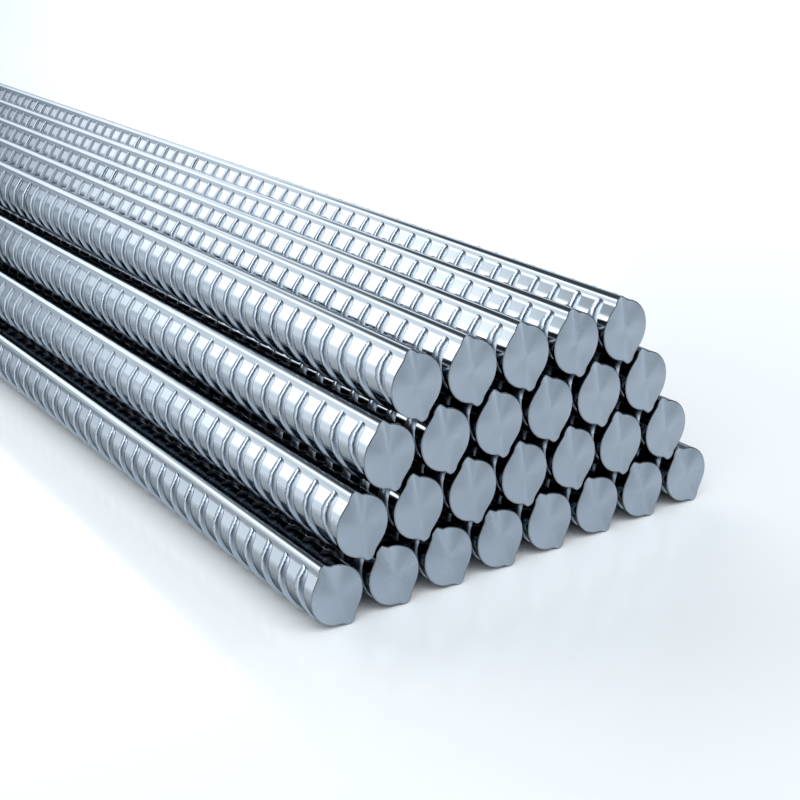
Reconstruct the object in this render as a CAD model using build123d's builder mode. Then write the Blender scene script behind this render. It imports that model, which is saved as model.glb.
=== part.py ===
from build123d import *
import os
from math import radians, sqrt, tan

# Rebar bundle: 26 ribbed steel bars of 32 mm, 6 m long, stacked in four rows of 8, 7, 6 and 5.
# Lengths are in millimetres and angles in degrees. The bars run along Y, +X is across the rows, +Z is up.
# The origin is on the floor under the middle of the stack, and the ends of the photograph face -Y.

# Driving dimensions of one bar, across its section as it stands with its two lugs up and down
bar_length = 6000.0
shell_radius = 16.6
shell_offset = 1.76
shell_tilt = 24.0
lug_height = 3.0
lug_crown_width = 3.3
lug_foot_near = 3.9
lug_foot_far = 4.5
flank_slope = 38.0
crown_round = 1.5
root_round = 2.0

# Cross ribs slant over both shells of a bar, one pair after the other all along it. The bars bear on each
# other rib on rib, so each solid carries its first whole pair, and the like ones behind it are fine relief.
rib_height = 1.7
rib_width = 4.0
rib_slant = 26.0
first_rib_in = 21.7
side_clearance = 0.3
row_clearance = 0.8

# The stack from the floor up: the bars in each row, and how far over to the left their lugs lean
bars_in_row = {
    "bottom_row_bars": 8,
    "second_row_bars": 7,
    "third_row_bars": 6,
    "top_row_bars": 5,
}
bottom_row_lean = 24.5
upper_rows_lean = 12.5
upper_rows_shift = 1.0

# Section of a bar: two shells as the rolls leave them, their middles a little apart, so that they meet at
# an edge above and below. A lug covers each edge, and a straight flank leads up to its near foot.
lug_reach = shell_radius + lug_height
right_middle = Vector(-shell_offset, 0).rotate(Axis.Z, -shell_tilt)
left_middle = -right_middle
far_foot_rise = sqrt(shell_radius**2 - (lug_foot_far - right_middle.X) ** 2)
far_foot = Vector(lug_foot_far, right_middle.Y + far_foot_rise)
flank_foot = left_middle + Vector(0, shell_radius).rotate(Axis.Z, flank_slope)
flank_fall = (flank_foot.X + lug_foot_near) * tan(radians(flank_slope))
near_foot = Vector(-lug_foot_near, flank_foot.Y - flank_fall)
crown_far = Vector(lug_crown_width / 2, lug_reach)
crown_near = Vector(-lug_crown_width / 2, lug_reach)

with BuildSketch() as bar_section:
    with BuildLine():
        for upright in (1, -1):
            RadiusArc(flank_foot * -upright, far_foot * upright, -shell_radius)
            Polyline([p * upright for p in (far_foot, crown_far, crown_near, near_foot, flank_foot)])
    make_face()
    fillet(bar_section.vertices().sort_by_distance((0, 0))[-4:], radius=crown_round)
    fillet(bar_section.vertices().sort_by_distance((0, 0))[2:6], radius=root_round)

# One cross rib on the left shell: half of a slanting slice of a round around the shell's middle
rib_radius = shell_radius + rib_height
with BuildPart() as rib:
    with BuildSketch(Plane.XZ):
        with Locations(left_middle):
            Circle(rib_radius)
        Rectangle(2 * lug_reach, 2 * lug_reach, align=(Align.MIN, Align.CENTER), mode=Mode.SUBTRACT)
    extrude(amount=lug_reach, both=True)
    with Locations(Location((0, 0, 0), (-rib_slant, 0, 0))):
        Box(4 * lug_reach, rib_width, 4 * lug_reach, mode=Mode.INTERSECT)

# One bar with its first pair of ribs, its middle at the origin
with BuildPart() as bar:
    with BuildSketch(Plane.XZ):
        add(bar_section.sketch)
    extrude(amount=bar_length / 2, both=True)
    for half_turn in (0, 180):
        with Locations(Location((0, first_rib_in - bar_length / 2, 0), (0, half_turn, 0))):
            add(rib.part)

# How the bars lie: the middle of a shell, once its bar leans, gives the gap to the shell that faces it
upper_shell = right_middle.rotate(Axis.Z, upper_rows_lean)
bottom_shell = right_middle.rotate(Axis.Z, bottom_row_lean)
rib_to_rib = 2 * rib_radius


def spacing_beside(shell_middle):
    """Distance between the middles of two bars side by side."""
    reach = rib_to_rib + side_clearance
    return sqrt(reach**2 - (2 * shell_middle.Y) ** 2) + 2 * shell_middle.X


def rise_over(lower_shell, across):
    """Height of a bar above the row that it lies on, from how far across its left neighbour there is."""
    reach = rib_to_rib + row_clearance
    return sqrt(reach**2 - (across - upper_shell.X - lower_shell.X) ** 2) + upper_shell.Y + lower_shell.Y


bar_spacing = spacing_beside(upper_shell)
second_row_rise = rise_over(bottom_shell, bar_spacing / 2 - upper_rows_shift)
upper_row_rise = rise_over(upper_shell, bar_spacing / 2)

# The bottom row touches the floor with the lowest point of its leaning section
with BuildSketch() as leaning_section:
    add(bar_section.sketch, rotation=bottom_row_lean)
bottom_row_height = -leaning_section.sketch.bounding_box().min.Y

row_heights = [bottom_row_height, bottom_row_height + second_row_rise]
while len(row_heights) < len(bars_in_row):
    row_heights.append(row_heights[-1] + upper_row_rise)


def lay_row(name, count, height, shift, lean):
    """A row of bars side by side, as one node of separate solids."""
    first = shift - bar_spacing * (count - 1) / 2
    places = [Location((first + bar_spacing * i, 0, height), (0, -lean, 0)) for i in range(count)]
    with BuildPart() as row:
        with Locations(*places):
            add(bar.part)
    row.part.label = name
    export_step(row.part, f"parts/{name}.step")


os.makedirs("parts", exist_ok=True)
for (row_name, bar_count), row_height in zip(bars_in_row.items(), row_heights):
    on_floor = row_height == bottom_row_height
    row_shift = 0 if on_floor else -upper_rows_shift
    row_lean = bottom_row_lean if on_floor else upper_rows_lean
    lay_row(row_name, bar_count, row_height, row_shift, row_lean)

print(f"spacing {bar_spacing:.2f}, rises {second_row_rise:.2f} and {upper_row_rise:.2f}")
print(f"section {bar_section.sketch.area:.1f} mm2, bottom row's middle {bottom_row_height:.2f} above the floor")
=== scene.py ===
from math import atan2, ceil, cos, pi, radians, sin, sqrt, tan

import bmesh
import bpy
from mathutils import Matrix, Quaternion, Vector


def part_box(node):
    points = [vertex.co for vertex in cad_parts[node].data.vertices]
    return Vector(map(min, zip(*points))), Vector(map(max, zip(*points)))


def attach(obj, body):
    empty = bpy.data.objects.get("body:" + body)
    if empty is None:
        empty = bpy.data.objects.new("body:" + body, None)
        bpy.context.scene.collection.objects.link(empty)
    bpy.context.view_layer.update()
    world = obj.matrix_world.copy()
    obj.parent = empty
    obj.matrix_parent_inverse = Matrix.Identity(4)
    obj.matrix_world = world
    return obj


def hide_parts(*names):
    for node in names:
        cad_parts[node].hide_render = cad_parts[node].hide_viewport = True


# Dressed rebar bundle: 26 steel bars in four rows, with all their cross ribs, a rolled skin and faced ends.
# Lengths are in metres. The bars run along Y and the ends of the photograph face -Y.

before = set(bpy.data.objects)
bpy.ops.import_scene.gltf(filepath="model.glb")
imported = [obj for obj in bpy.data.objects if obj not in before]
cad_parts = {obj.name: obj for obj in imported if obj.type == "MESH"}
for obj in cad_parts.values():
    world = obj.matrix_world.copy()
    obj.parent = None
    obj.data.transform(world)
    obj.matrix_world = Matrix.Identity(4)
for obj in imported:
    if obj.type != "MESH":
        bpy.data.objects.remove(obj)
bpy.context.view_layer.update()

MM = 0.001

# Section of a bar, as in the part
SHELL_RADIUS = 16.6 * MM
SHELL_OFFSET = 1.76 * MM
SHELL_TILT = radians(24)
LUG_HEIGHT = 3.0 * MM
LUG_CROWN_WIDTH = 3.3 * MM
LUG_FOOT_NEAR = 3.9 * MM
LUG_FOOT_FAR = 4.5 * MM
FLANK_SLOPE = radians(38)
FAR_ROOT_ROUND = 2.0 * MM

# Rolling softens the crown of a lug and the foot of its near side more than the part's section shows
NEAR_CROWN_ROUND = 4.0 * MM
FAR_CROWN_ROUND = 2.2 * MM
NEAR_ROOT_ROUND = 6.0 * MM

# Broken edge round a cut end, across the bar and along it
EDGE_BREAK = 0.55 * MM
EDGE_BREAK_ALONG = 0.32 * MM

# Widest turn between two points of an arc, and the turn from which an edge of the body stays sharp
ARC_STEP = radians(3)
SHARP_EDGE = radians(35)

# Cross ribs stand on both shells of a bar, a pitch apart, and slant back as they climb. Angles are taken
# about a shell's middle: a rib's nose lies on the side of the upper lug, and along its tail its height falls
# to nothing, the faster the further down. The underside is sunk into the bar.
RIB_HEIGHT = 1.7 * MM
RIB_PITCH = 17.0 * MM
RIB_SLANT = radians(26)
RIB_FIRST_IN = 3.2 * MM
RIB_TOP = radians(14.5)
RIB_BOTTOM = radians(157)
RIB_TAIL_RUN = radians(70)
RIB_TAIL_TAPER = 0.6
RIB_SUNK = 0.25 * MM

# The first rib stops at this angle, where its slant reaches the cut end. So many whole ones follow it.
CUT_RIB_BOTTOM = radians(108)
RIB_COUNT = 351

# Length of a rib along the bar: at its nose, at its tail, and half way down
RIB_NOSE_LENGTHWISE = 6.5 * MM
RIB_TAIL_LENGTHWISE = 2.8 * MM
RIB_LENGTHWISE = 9.5 * MM

# A rib's short side faces the photographed end. It is steepest at the nose and widens between two angles.
RIB_NOSE_SHORT_SIDE = 0.6 * MM
RIB_SHORT_SIDE = 1.6 * MM
RIB_WIDENING = (radians(20), radians(44))

# The nose is lifted and reaches forward, and each of these fades out over its own run
RIB_NOSE_LIFT = 0.36 * MM
RIB_LIFT_RUN = radians(12)
RIB_NOSE_FORWARD = 1.9 * MM
RIB_FORWARD_RUN = radians(62)

# Rows of a nose: share of the way down the rib, share of the full height, and how far it is pinched in
ROUND_NOSE = ((0, 0, 0.4), (0.03, 0.8, 0.08), (0.09, 1, 0))
PLAIN_NOSE = ((0, 0, 0.3), (0.05, 1, 0))

# Points over a rib, short side first: share of the breadth of that side, and share of the full height
SHORT_SIDE = ((0, 0), (0.3, 0.32), (1, 0.79))
LONG_SIDE = ((0.16, 0.975), (0.24, 1), (0.55, 0.7), (1, 0))
PLAIN_SHORT_SIDE = ((0, 0), (1, 1))
PLAIN_LONG_SIDE = ((0.5, 0.6), (1, 0))
BARE_LONG_SIDE = ((1, 0),)

# Steps from the nose of a rib to its tail
CUT_RIB_STEPS = 6
FINE_RIB_STEPS = 7
PLAIN_RIB_STEPS = 5
BARE_RIB_STEPS = 3

# The stack, row by row from the floor: number of bars, and how far their lugs lean to the left
ROWS = {
    "bottom_row_bars": (8, radians(24.5)),
    "second_row_bars": (7, radians(12.5)),
    "third_row_bars": (6, radians(12.5)),
    "top_row_bars": (5, radians(12.5)),
}

# Fine ribs on each shell, from the photographed end on. Plainer ones follow for the rest of the length.
FINE_RIBS_OUTSIDE = 26
FINE_RIBS_INSIDE = 6

# Streaks of the rolls along a bar, and the soft mottle over it
STREAK_SCALE = 900.0
STREAK_STRETCH = 0.03
STREAK_DETAIL = 4
STREAK_ROUGHNESS = 0.6
MOTTLE_SCALE = 22.0
MOTTLE_DETAIL = 3
MOTTLE_RANGE = (0.3, 0.7)

# Rolled steel: two tones of its mottle, a painted highlight that lightens its ribs towards their crests, its
# tint at a low angle, its gloss and its streaks' depth
STEEL_TONES = ((0.225, 0.25, 0.275, 1), (0.25, 0.275, 0.30, 1))
# Painted highlight on the ribs: their colour goes to this lighter tone between these shares of a rib's
# height
RIB_HIGHLIGHT_TONE = (0.40, 0.425, 0.45, 1)
RIB_HIGHLIGHT_HEIGHTS = (0.1, 0.7)
LOW_ANGLE_TINT = (0.42, 0.44, 0.46, 1)
STEEL_ROUGHNESS = (0.07, 0.13)
STREAK_STRENGTH = 0.03
STREAK_DEPTH = 0.1 * MM

# Faced ends: two tones, their satin gloss, and the rings that the turning tool leaves
END_TONES = ((0.35, 0.405, 0.47, 1), (0.385, 0.44, 0.505, 1))
END_ROUGHNESS = (0.26, 0.32)
RING_PITCH = 0.3 * MM
RING_SLOPE = 0.32

# Floor
FLOOR_HALF_WIDTH = 150
FLOOR_COLOUR = (0.97, 0.975, 0.98, 1)
FLOOR_ROUGHNESS = 0.12
FLOOR_SPECULAR = 0.25

# Soft light of the room, in three zones one above the other. The low zone ends at the sill of the window
# behind the bundle, the high one at its lintel, and the upper one at the ceiling. Each end is a soft edge
# between two heights. The stops of a zone are degrees (0 behind the bundle, left positive) and brightness.
SKY_BRIGHTEST = 4.8
SKY_SILL = (0.21, 0.37)
SKY_LINTEL = (0.44, 0.62)
SKY_CEILING = (0.93, 0.97)
SKY_OVERHEAD = 0.2
SKY_DIM_TINT = (0.80, 0.91, 1.0, 1)
SKY_LIGHT_TINT = (1, 1, 1, 1)
SKY_LOW = (
    (-180, 0.4),
    (-165, 1.2),
    (-148, 1.2),
    (-132, 0.2),
    (-75, 0.3),
    (-60, 1.4),
    (-24, 1.4),
    (-14, 0.3),
    (12, 0.3),
    (32, 2.8),
    (44, 2.8),
    (54, 0.05),
    (90, 0.05),
    (98, 0.4),
    (150, 0.4),
    (158, 0.1),
    (180, 0.1),
)
SKY_HIGH = (
    (-180, 0.1),
    (-163, 0.1),
    (-155, 1.3),
    (-142, 1.3),
    (-128, 0.4),
    (-118, 2.9),
    (-72, 2.9),
    (-62, 0.2),
    (-44, 0.2),
    (-36, 4.8),
    (44, 4.8),
    (54, 0.06),
    (88, 0.06),
    (98, 1.3),
    (156, 1.3),
    (164, 0.1),
    (180, 0.1),
)
SKY_UPPER = (
    (-180, 3.0),
    (-146, 3.0),
    (-132, 0.2),
    (46, 0.2),
    (56, 0.06),
    (94, 0.06),
    (110, 3.0),
    (180, 3.0),
)

# The photograph's camera
CAMERA_PLACE = Vector((-0.43926, -3.53154, 0.36256))
CAMERA_HEADING = radians(-34.2)
CAMERA_HEIGHT_ANGLE = radians(21.42)
CAMERA_ROLL = radians(-1.26)
CAMERA_LENS = 65.55
CAMERA_SENSOR = 36
CAMERA_REACH = (0.01, 500)


def row_width(node):
    low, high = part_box(node)
    return high.x - low.x


# Sizes that the part itself gives
bar_spacing = row_width("second_row_bars") - row_width("third_row_bars")
bars_low, bars_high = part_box("bottom_row_bars")
bar_length = bars_high.y - bars_low.y


# Outline of the section, with its lugs up and down
def turned(point, angle):
    """A point of the section, turned counter-clockwise about the bar's middle."""
    return Vector((point.x * cos(angle) - point.y * sin(angle), point.x * sin(angle) + point.y * cos(angle)))


def arc_between(centre, start, end):
    """Points along the shorter arc about a centre, both ends included."""
    spoke = start - centre
    goal = end - centre
    sweep = atan2(spoke.x * goal.y - spoke.y * goal.x, spoke.dot(goal))
    pieces = max(2, ceil(abs(sweep) / ARC_STEP))
    return [centre + turned(spoke, sweep * i / pieces) for i in range(pieces + 1)]


def rounded_corner(before, corner, after, radius):
    """The arc that rounds a corner between two straight sides."""
    back = (before - corner).normalized()
    onward = (after - corner).normalized()
    half_angle = back.angle(onward) / 2
    centre = corner + (back + onward).normalized() * (radius / sin(half_angle))
    run = radius / tan(half_angle)
    return arc_between(centre, corner + back * run, corner + onward * run)


lug_reach = SHELL_RADIUS + LUG_HEIGHT
right_middle = turned(Vector((-SHELL_OFFSET, 0)), -SHELL_TILT)
left_middle = -right_middle
far_foot_rise = sqrt(SHELL_RADIUS**2 - (LUG_FOOT_FAR - right_middle.x) ** 2)
far_foot = Vector((LUG_FOOT_FAR, right_middle.y + far_foot_rise))
flank_foot = left_middle + turned(Vector((0, SHELL_RADIUS)), FLANK_SLOPE)
flank_fall = (flank_foot.x + LUG_FOOT_NEAR) * tan(FLANK_SLOPE)
near_foot = Vector((-LUG_FOOT_NEAR, flank_foot.y - flank_fall))
crown_far = Vector((LUG_CROWN_WIDTH / 2, lug_reach))
crown_near = Vector((-LUG_CROWN_WIDTH / 2, lug_reach))


def hollow_by_shell():
    """The hollow round where the far side of a lug meets the shell."""
    up_the_lug = (crown_far - far_foot).normalized()
    outward = Vector((up_the_lug.y, -up_the_lug.x))
    start = far_foot + outward * FAR_ROOT_ROUND
    to_start = start - right_middle
    along = up_the_lug.dot(to_start)
    reach = SHELL_RADIUS + FAR_ROOT_ROUND
    run = sqrt(along**2 - to_start.length_squared + reach**2) - along
    centre = start + up_the_lug * run
    on_shell = right_middle + (centre - right_middle).normalized() * SHELL_RADIUS
    return arc_between(centre, on_shell, centre - outward * FAR_ROOT_ROUND)


def bar_outline():
    """The whole outline, counter-clockwise: one half, and the same half turned round."""
    hollow = hollow_by_shell()
    half = arc_between(right_middle, -flank_foot, hollow[0])[:-1] + hollow
    half += rounded_corner(far_foot, crown_far, crown_near, FAR_CROWN_ROUND)
    half += rounded_corner(crown_far, crown_near, near_foot, NEAR_CROWN_ROUND)
    half += rounded_corner(crown_near, near_foot, flank_foot, NEAR_ROOT_ROUND)
    return half + [-point for point in half]


def drawn_in(outline, depth):
    """The outline moved inwards by a depth."""
    inner = []
    for i, point in enumerate(outline):
        along = (outline[(i + 1) % len(outline)] - outline[i - 1]).normalized()
        inner.append(point + Vector((-along.y, along.x)) * depth)
    return inner


# Meshes of one bar about its own middle. Their Relief map holds the height of a point up a rib, or on an end
# its offset from the bar's middle.
def bar_body_mesh(skin, faced_end):
    """The rolled body of a bar: its side, the broken edges and the two faced ends."""
    outline = bar_outline()
    inner = drawn_in(outline, EDGE_BREAK)
    half_length = bar_length / 2
    stations = [
        (inner, -half_length),
        (outline, EDGE_BREAK_ALONG - half_length),
        (outline, half_length - EDGE_BREAK_ALONG),
        (inner, half_length),
    ]
    bm = bmesh.new()
    relief = bm.loops.layers.uv.new("Relief")
    rings = [[bm.verts.new((p.x, y, p.y)) for p in points] for points, y in stations]
    count = len(outline)
    for ring, after in zip(rings, rings[1:]):
        for i in range(count):
            j = (i + 1) % count
            face = bm.faces.new((ring[i], ring[j], after[j], after[i]))
            face.smooth = True
    for ring, y in ((rings[0], -half_length), (rings[-1], half_length)):
        middle = bm.verts.new((0, y, 0))
        for i in range(count):
            face = bm.faces.new((ring[i], ring[(i + 1) % count], middle))
            face.material_index = 1
    bmesh.ops.recalc_face_normals(bm, faces=bm.faces)
    for face in bm.faces:
        for loop in face.loops:
            loop[relief].uv = (0, 0)
    mesh = bpy.data.meshes.new("bar_body")
    bm.to_mesh(mesh)
    bm.free()
    mesh.materials.append(skin)
    mesh.materials.append(faced_end)
    mesh.set_sharp_from_angle(angle=SHARP_EDGE)
    return mesh


lug_side = crown_near - near_foot
lug_side_slope = atan2(lug_side.y, lug_side.x)
lug_side_distance = (near_foot - left_middle).dot(turned(Vector((0, 1)), lug_side_slope))


def surface_radius(angle):
    """Distance from the left shell's middle to the bar's surface: lug side, flank and shell."""
    if angle > FLANK_SLOPE:
        return SHELL_RADIUS
    return max(SHELL_RADIUS / cos(FLANK_SLOPE - angle), lug_side_distance / cos(lug_side_slope - angle))


def eased(value):
    """0 to 1 with a soft start and a soft end."""
    value = min(1.0, max(0.0, value))
    return value * value * (3 - 2 * value)


def rib_row(share, fullness, pinch, bottom, short_side, long_side):
    """Points over a rib at a share of the way down, each with its height as a share from 0 to 1."""
    angle = RIB_TOP + (bottom - RIB_TOP) * share
    below_top = angle - RIB_TOP
    base = surface_radius(angle)
    taper = min(1.0, max(0.0, (bottom - angle) / RIB_TAIL_RUN) ** RIB_TAIL_TAPER)
    lift = RIB_NOSE_LIFT * (1 - eased(below_top / RIB_LIFT_RUN))
    height = max(0.0, SHELL_RADIUS + RIB_HEIGHT + lift - base) * taper * fullness

    swell = max(0.0, sin(pi * share))
    straight = RIB_NOSE_LENGTHWISE + (RIB_TAIL_LENGTHWISE - RIB_NOSE_LENGTHWISE) * share
    breadth = straight + (RIB_LENGTHWISE - (RIB_NOSE_LENGTHWISE + RIB_TAIL_LENGTHWISE) / 2) * swell
    widening = eased((angle - RIB_WIDENING[0]) / (RIB_WIDENING[1] - RIB_WIDENING[0]))
    short = RIB_NOSE_SHORT_SIDE + (RIB_SHORT_SIDE - RIB_NOSE_SHORT_SIDE) * widening * taper
    across = [(short * part, rise) for part, rise in short_side]
    across += [(short + (breadth - short) * part, rise) for part, rise in long_side]

    forward = RIB_NOSE_FORWARD * (1 - eased(below_top / RIB_FORWARD_RUN))
    points = []
    for run, rise in across:
        sunk = rise == 0 or height == 0
        radius = base - RIB_SUNK if sunk else base + height * rise
        x = left_middle.x - radius * sin(angle)
        z = left_middle.y + radius * cos(angle)
        drawn_back = pinch * (breadth - run)
        y = RIB_FIRST_IN + z * tan(RIB_SLANT) + run + drawn_back - forward - bar_length / 2
        points.append(((x, y, z), 0.0 if sunk else rise * taper))
    return points


def rib_shape(name, nose, steps, short_side, long_side, bottom=RIB_BOTTOM):
    """A cross rib on the left shell, closed underneath, as an object for the node tree to copy."""
    last = nose[-1][0]
    stations = list(nose) + [(last + (1 - last) * i / steps, 1.0, 0.0) for i in range(1, steps + 1)]
    bm = bmesh.new()
    relief = bm.loops.layers.uv.new("Relief")
    heights = {}
    rows = []
    for share, fullness, pinch in stations:
        verts = []
        for point, height in rib_row(share, fullness, pinch, bottom, short_side, long_side):
            vert = bm.verts.new(point)
            heights[vert] = height
            verts.append(vert)
        rows.append(verts)
    for above, below in zip(rows, rows[1:]):
        for i in range(len(above) - 1):
            bm.faces.new((above[i], above[i + 1], below[i + 1], below[i]))
        underside = bm.faces.new((above[0], below[0], below[-1], above[-1]))
        for edge in underside.edges:
            edge.smooth = False
    bm.faces.new(rows[0])
    bm.faces.new(rows[-1])
    bmesh.ops.recalc_face_normals(bm, faces=bm.faces)
    for face in bm.faces:
        face.smooth = True
        for loop in face.loops:
            loop[relief].uv = (0, heights[loop.vert])
    mesh = bpy.data.meshes.new(name)
    bm.to_mesh(mesh)
    bm.free()
    return bpy.data.objects.new(name, mesh)


# Nodes, for the trees below
def add_node(tree, kind, inputs=None, **settings):
    """A new node with its settings. Inputs given as sockets are linked, and the others are set."""
    node = tree.nodes.new(kind)
    for name, value in settings.items():
        setattr(node, name, value)
    for key, value in (inputs or {}).items():
        if isinstance(value, bpy.types.NodeSocket):
            tree.links.new(value, node.inputs[key])
        else:
            node.inputs[key].default_value = value
    return node


def worked_out(tree, operation, first, second=0.0):
    """The result of a sum on one or two numbers."""
    return add_node(tree, "ShaderNodeMath", {0: first, 1: second}, operation=operation).outputs[0]


def spread(tree, value, start, goal=(0, 1), interpolation="LINEAR"):
    """A number moved from one range to another, and held inside it."""
    ends = {"From Min": start[0], "From Max": start[1], "To Min": goal[0], "To Max": goal[1]}
    node = add_node(tree, "ShaderNodeMapRange", {"Value": value, **ends}, interpolation_type=interpolation)
    return node.outputs["Result"]


def blended(tree, share, first, second, blend="MIX"):
    """A colour that goes from the first to the second with a share from 0 to 1."""
    colours = {"Factor": share, "A": first, "B": second}
    return add_node(tree, "ShaderNodeMix", colours, data_type="RGBA", blend_type=blend).outputs["Result"]


# Node tree that lays the ribs out along a bar, on both its shells
def rib_layout_tree():
    """Ribs in a line along the bar, fine ones near the cut end and plainer ones behind, on both shells."""
    tree = bpy.data.node_groups.new("Rib layout", "GeometryNodeTree")
    tree.interface.new_socket(name="Geometry", in_out="INPUT", socket_type="NodeSocketGeometry")
    keys = {}
    for label, kind in (
        ("Cut Rib", "NodeSocketObject"),
        ("Fine Rib", "NodeSocketObject"),
        ("Plain Rib", "NodeSocketObject"),
        ("Fine Count", "NodeSocketInt"),
        ("Plain Count", "NodeSocketInt"),
        ("Pitch", "NodeSocketFloat"),
        ("Skin", "NodeSocketMaterial"),
    ):
        keys[label] = tree.interface.new_socket(name=label, in_out="INPUT", socket_type=kind).identifier
    tree.interface.new_socket(name="Geometry", in_out="OUTPUT", socket_type="NodeSocketGeometry")
    given = tree.nodes.new("NodeGroupInput").outputs
    result = tree.nodes.new("NodeGroupOutput")

    def shape_of(rib):
        return add_node(tree, "GeometryNodeObjectInfo", {"Object": rib}).outputs["Geometry"]

    def along_bar(distance):
        return add_node(tree, "ShaderNodeCombineXYZ", {"Y": distance}).outputs[0]

    def rib_line(rib, count, start):
        """One rib copied along Y, count times, a pitch apart."""
        steps = {"Count": count, "Start Location": along_bar(start), "Offset": along_bar(given["Pitch"])}
        line = add_node(tree, "GeometryNodeMeshLine", steps, mode="OFFSET")
        copied = {"Points": line.outputs["Mesh"], "Instance": shape_of(rib)}
        return add_node(tree, "GeometryNodeInstanceOnPoints", copied).outputs["Instances"]

    def joined(pieces):
        node = add_node(tree, "GeometryNodeJoinGeometry")
        for piece in pieces:
            tree.links.new(piece, node.inputs[0])
        return node.outputs[0]

    ribs_before_plain = worked_out(tree, "ADD", given["Fine Count"], 1)
    plain_start = worked_out(tree, "MULTIPLY", ribs_before_plain, given["Pitch"])
    cut = shape_of(given["Cut Rib"])
    fine = rib_line(given["Fine Rib"], given["Fine Count"], given["Pitch"])
    plain = rib_line(given["Plain Rib"], given["Plain Count"], plain_start)
    one_shell = joined((cut, fine, plain))
    half_turn = {"Geometry": one_shell, "Rotation": (0, pi, 0)}
    other_shell = add_node(tree, "GeometryNodeTransform", half_turn).outputs[0]
    real = add_node(tree, "GeometryNodeRealizeInstances", {0: joined((one_shell, other_shell))}).outputs[0]
    finish = add_node(tree, "GeometryNodeSetMaterial", {"Geometry": real, "Material": given["Skin"]})
    tree.links.new(finish.outputs[0], result.inputs[0])
    return tree, keys


def bar_ribs_mesh(name, tree, keys, values):
    """All ribs of a bar as one plain mesh, from the node tree with these values."""
    carrier = bpy.data.objects.new(name, bpy.data.meshes.new(name))
    bpy.context.scene.collection.objects.link(carrier)
    layout = carrier.modifiers.new("Rib layout", "NODES")
    layout.node_group = tree
    for label, value in values.items():
        layout[keys[label]] = value
    depsgraph = bpy.context.evaluated_depsgraph_get()
    mesh = bpy.data.meshes.new_from_object(carrier.evaluated_get(depsgraph))
    carrier.modifiers.remove(layout)
    bpy.data.objects.remove(carrier)
    return mesh


# Steel
def shader_group(name, inputs, outputs):
    tree = bpy.data.node_groups.new(name, "ShaderNodeTree")
    for label, value in inputs.items():
        socket = tree.interface.new_socket(name=label, in_out="INPUT", socket_type="NodeSocketFloat")
        socket.default_value = value
    for label, kind in outputs.items():
        tree.interface.new_socket(name=label, in_out="OUTPUT", socket_type=kind)
    return tree, tree.nodes.new("NodeGroupInput").outputs, tree.nodes.new("NodeGroupOutput").inputs


def mill_grain_group():
    """Long streaks that the rolls leave along a bar, with a soft mottle: a tone, and the streaks' height."""
    tree, given, result = shader_group(
        "Mill grain",
        {"Streak Scale": STREAK_SCALE, "Mottle Scale": MOTTLE_SCALE},
        {"Tone": "NodeSocketFloat", "Streaks": "NodeSocketFloat"},
    )
    place = add_node(tree, "ShaderNodeTexCoord").outputs["Object"]
    stretched = {"Vector": place, "Scale": (1, STREAK_STRETCH, 1)}
    along_bar = add_node(tree, "ShaderNodeMapping", stretched).outputs[0]
    streaks = add_node(tree, "ShaderNodeTexNoise", {
        "Vector": along_bar,
        "Scale": given["Streak Scale"],
        "Detail": STREAK_DETAIL,
        "Roughness": STREAK_ROUGHNESS,
    })
    mottle = add_node(tree, "ShaderNodeTexNoise", {
        "Vector": place,
        "Scale": given["Mottle Scale"],
        "Detail": MOTTLE_DETAIL,
    })
    tree.links.new(spread(tree, mottle.outputs["Fac"], MOTTLE_RANGE), result["Tone"])
    tree.links.new(streaks.outputs["Fac"], result["Streaks"])
    return tree


def turned_face_group():
    """Fine rings about the middle of a faced end, as a normal."""
    tree, given, result = shader_group(
        "Turned face",
        {"Ring Pitch": RING_PITCH, "Ring Slope": RING_SLOPE},
        {"Normal": "NodeSocketVector"},
    )

    def vector(operation, inputs):
        return add_node(tree, "ShaderNodeVectorMath", inputs, operation=operation).outputs

    offset = add_node(tree, "ShaderNodeUVMap", uv_map="Relief").outputs[0]
    parts = add_node(tree, "ShaderNodeSeparateXYZ", {0: offset}).outputs
    from_middle = add_node(tree, "ShaderNodeCombineXYZ", {"X": parts["X"], "Z": parts["Y"]}).outputs[0]
    distance = vector("LENGTH", {0: from_middle})["Value"]
    rings = worked_out(tree, "DIVIDE", distance, given["Ring Pitch"])
    wave = worked_out(tree, "SINE", worked_out(tree, "MULTIPLY", rings, 2 * pi))
    slope = worked_out(tree, "MULTIPLY", wave, given["Ring Slope"])
    outward = vector("NORMALIZE", {0: from_middle})[0]
    tilt = vector("SCALE", {0: outward, "Scale": slope})[0]
    facing = add_node(tree, "ShaderNodeNewGeometry").outputs["Normal"]
    tree.links.new(vector("NORMALIZE", {0: vector("ADD", {0: facing, 1: tilt})[0]})[0], result["Normal"])
    return tree


def new_metal(name):
    """A metal, its node tree and the inputs of its shader."""
    material = bpy.data.materials.new(name)
    material.use_nodes = True
    surface = material.node_tree.nodes["Principled BSDF"].inputs
    surface["Metallic"].default_value = 1
    return material, material.node_tree, surface


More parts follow.
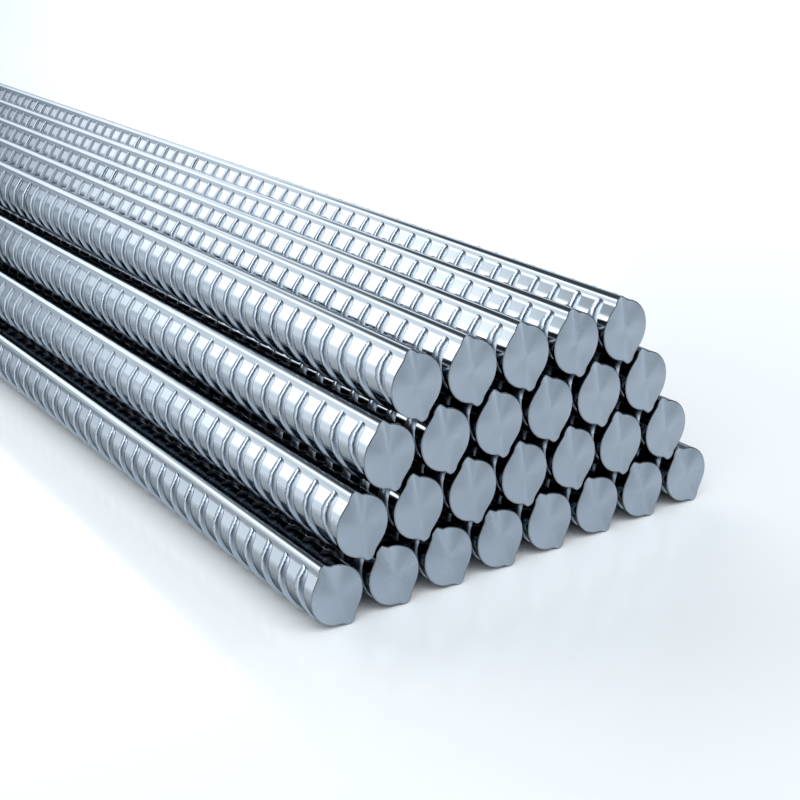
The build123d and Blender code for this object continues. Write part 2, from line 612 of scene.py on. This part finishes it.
def rolled_steel(grain):
    """Bright rolled steel, cool grey, with a painted highlight that lightens its ribs towards their crests.
    """
    material, tree, surface = new_metal("rolled_steel")
    texture = add_node(tree, "ShaderNodeGroup", node_tree=grain).outputs
    relief = add_node(tree, "ShaderNodeUVMap", uv_map="Relief").outputs[0]
    height = add_node(tree, "ShaderNodeSeparateXYZ", {0: relief}).outputs["Y"]
    # Painted highlight: the higher up a rib, the lighter its colour
    rib_highlight = spread(tree, height, RIB_HIGHLIGHT_HEIGHTS, interpolation="SMOOTHSTEP")
    rolled = blended(tree, texture["Tone"], *STEEL_TONES)
    tree.links.new(blended(tree, rib_highlight, rolled, RIB_HIGHLIGHT_TONE), surface["Base Color"])
    tree.links.new(spread(tree, texture["Streaks"], (0, 1), STEEL_ROUGHNESS), surface["Roughness"])
    bump = {"Height": texture["Streaks"], "Strength": STREAK_STRENGTH, "Distance": STREAK_DEPTH}
    tree.links.new(add_node(tree, "ShaderNodeBump", bump).outputs[0], surface["Normal"])
    surface["Specular Tint"].default_value = LOW_ANGLE_TINT
    return material


def faced_end_steel(grain, turned_face):
    """Satin steel of a cut and faced end."""
    material, tree, surface = new_metal("faced_end_steel")
    tone = add_node(tree, "ShaderNodeGroup", node_tree=grain).outputs["Tone"]
    rings = add_node(tree, "ShaderNodeGroup", node_tree=turned_face).outputs["Normal"]
    tree.links.new(blended(tree, tone, *END_TONES), surface["Base Color"])
    tree.links.new(spread(tree, tone, (0, 1), END_ROUGHNESS), surface["Roughness"])
    tree.links.new(rings, surface["Normal"])
    return material


# Bars in their places
def place_of_bar(node, number):
    """Where a bar's middle lies and how it leans."""
    count, lean = ROWS[node]
    low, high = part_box(node)
    middle = (low + high) / 2
    middle.x += (number - (count - 1) / 2) * bar_spacing
    return Matrix.Translation(middle) @ Matrix.Rotation(-lean, 4, "Y")


def lay_bar(name, node, number, body, ribs):
    """One bar with its ribs, in place, as a piece that stands for its row's solids."""
    bm = bmesh.new()
    bm.from_mesh(body)
    bm.from_mesh(ribs)
    place = place_of_bar(node, number)
    bm.transform(place)
    middle = place.translation
    relief = bm.loops.layers.uv["Relief"]
    for face in bm.faces:
        if face.material_index == 1:
            for loop in face.loops:
                loop[relief].uv = (loop.vert.co.x - middle.x, loop.vert.co.z - middle.z)
    mesh = bpy.data.meshes.new(name)
    bm.to_mesh(mesh)
    bm.free()
    for material in body.materials:
        mesh.materials.append(material)
    bar = bpy.data.objects.new(name, mesh)
    bpy.context.scene.collection.objects.link(bar)
    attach(bar, "root")
    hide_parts(node)


def lay_bundle():
    """All the bars, row by row."""
    grain = mill_grain_group()
    skin = rolled_steel(grain)
    body = bar_body_mesh(skin, faced_end_steel(grain, turned_face_group()))
    cut_rib = rib_shape("cut_rib", ROUND_NOSE, CUT_RIB_STEPS, SHORT_SIDE, LONG_SIDE, CUT_RIB_BOTTOM)
    fine_rib = rib_shape("fine_rib", ROUND_NOSE, FINE_RIB_STEPS, SHORT_SIDE, LONG_SIDE)
    plain_rib = rib_shape("plain_rib", PLAIN_NOSE, PLAIN_RIB_STEPS, PLAIN_SHORT_SIDE, PLAIN_LONG_SIDE)
    bare_rib = rib_shape("bare_rib", PLAIN_NOSE, BARE_RIB_STEPS, PLAIN_SHORT_SIDE, BARE_LONG_SIDE)
    tree, keys = rib_layout_tree()

    def ribs_along(name, plainer, fine_count):
        """The ribs of a whole bar: the cut one, the fine ones, and plainer ones for the rest."""
        values = {
            "Cut Rib": cut_rib,
            "Fine Rib": fine_rib,
            "Plain Rib": plainer,
            "Fine Count": fine_count,
            "Plain Count": RIB_COUNT - fine_count,
            "Pitch": RIB_PITCH,
            "Skin": skin,
        }
        return bar_ribs_mesh(name, tree, keys, values)

    outside_ribs = ribs_along("outside_ribs", plain_rib, FINE_RIBS_OUTSIDE)
    inside_ribs = ribs_along("inside_ribs", bare_rib, FINE_RIBS_INSIDE)
    for node, (count, _) in ROWS.items():
        for number in range(count):
            on_outside = node == "top_row_bars" or number in (0, count - 1)
            ribs = outside_ribs if on_outside else inside_ribs
            lay_bar(f"{node[:-1]}_{number + 1}", node, number, body, ribs)


# Studio: pale floor, soft light and the camera
def pale_floor():
    mesh = bpy.data.meshes.new("floor")
    bm = bmesh.new()
    bmesh.ops.create_grid(bm, x_segments=1, y_segments=1, size=FLOOR_HALF_WIDTH)
    bm.to_mesh(mesh)
    bm.free()
    material = bpy.data.materials.new("pale_floor")
    material.use_nodes = True
    surface = material.node_tree.nodes["Principled BSDF"].inputs
    surface["Base Color"].default_value = FLOOR_COLOUR
    surface["Roughness"].default_value = FLOOR_ROUGHNESS
    surface["Specular IOR Level"].default_value = FLOOR_SPECULAR
    mesh.materials.append(material)
    floor = bpy.data.objects.new("floor", mesh)
    bpy.context.scene.collection.objects.link(floor)


def studio_sky():
    """Soft light from a window behind the bundle, a lamp on its right and a strip high up at the front left.

    The walls between them and the ceiling are dim, and whatever is dim is a little blue.
    """
    world = bpy.data.worlds.new("studio")
    bpy.context.scene.world = world
    world.use_nodes = True
    tree = world.node_tree
    direction = add_node(tree, "ShaderNodeTexCoord").outputs["Generated"]
    parts = add_node(tree, "ShaderNodeSeparateXYZ", {0: direction}).outputs
    leftwards = worked_out(tree, "MULTIPLY", parts["X"], -1)
    heading = worked_out(tree, "ARCTAN2", leftwards, parts["Y"])
    around = spread(tree, heading, (-pi, pi))

    def zone(stops):
        """Brightness around the room, from its stops."""
        node = add_node(tree, "ShaderNodeValToRGB", {"Fac": around})
        elements = node.color_ramp.elements
        while len(elements) < len(stops):
            elements.new(1)
        for element, (degrees, light) in zip(elements, stops):
            element.position = (degrees + 180) / 360
            share = light / SKY_BRIGHTEST
            element.color = (share, share, share, 1)
        return node.outputs["Color"]

    def stacked(lower, upper, edge):
        """One zone above another, with a soft edge between two heights."""
        above = spread(tree, parts["Z"], edge, interpolation="SMOOTHSTEP")
        return blended(tree, above, lower, upper)

    overhead = SKY_OVERHEAD / SKY_BRIGHTEST
    walls = stacked(stacked(zone(SKY_LOW), zone(SKY_HIGH), SKY_SILL), zone(SKY_UPPER), SKY_LINTEL)
    light = stacked(walls, (overhead, overhead, overhead, 1), SKY_CEILING)
    tint = blended(tree, light, SKY_DIM_TINT, SKY_LIGHT_TINT)
    background = tree.nodes["Background"].inputs
    tree.links.new(blended(tree, 1, light, tint, "MULTIPLY"), background["Color"])
    background["Strength"].default_value = SKY_BRIGHTEST


def photo_camera():
    camera = bpy.data.objects.new("camera", bpy.data.cameras.new("camera"))
    bpy.context.scene.collection.objects.link(camera)
    back = Vector((
        sin(CAMERA_HEADING) * cos(CAMERA_HEIGHT_ANGLE),
        -cos(CAMERA_HEADING) * cos(CAMERA_HEIGHT_ANGLE),
        sin(CAMERA_HEIGHT_ANGLE),
    ))
    camera.rotation_mode = "QUATERNION"
    camera.rotation_quaternion = back.to_track_quat("Z", "Y") @ Quaternion((0, 0, 1), CAMERA_ROLL)
    camera.location = CAMERA_PLACE
    camera.data.lens = CAMERA_LENS
    camera.data.sensor_width = CAMERA_SENSOR
    camera.data.clip_start, camera.data.clip_end = CAMERA_REACH
    bpy.context.scene.camera = camera


lay_bundle()
pale_floor()
studio_sky()
photo_camera()
bpy.context.scene.view_settings.view_transform = "Standard"
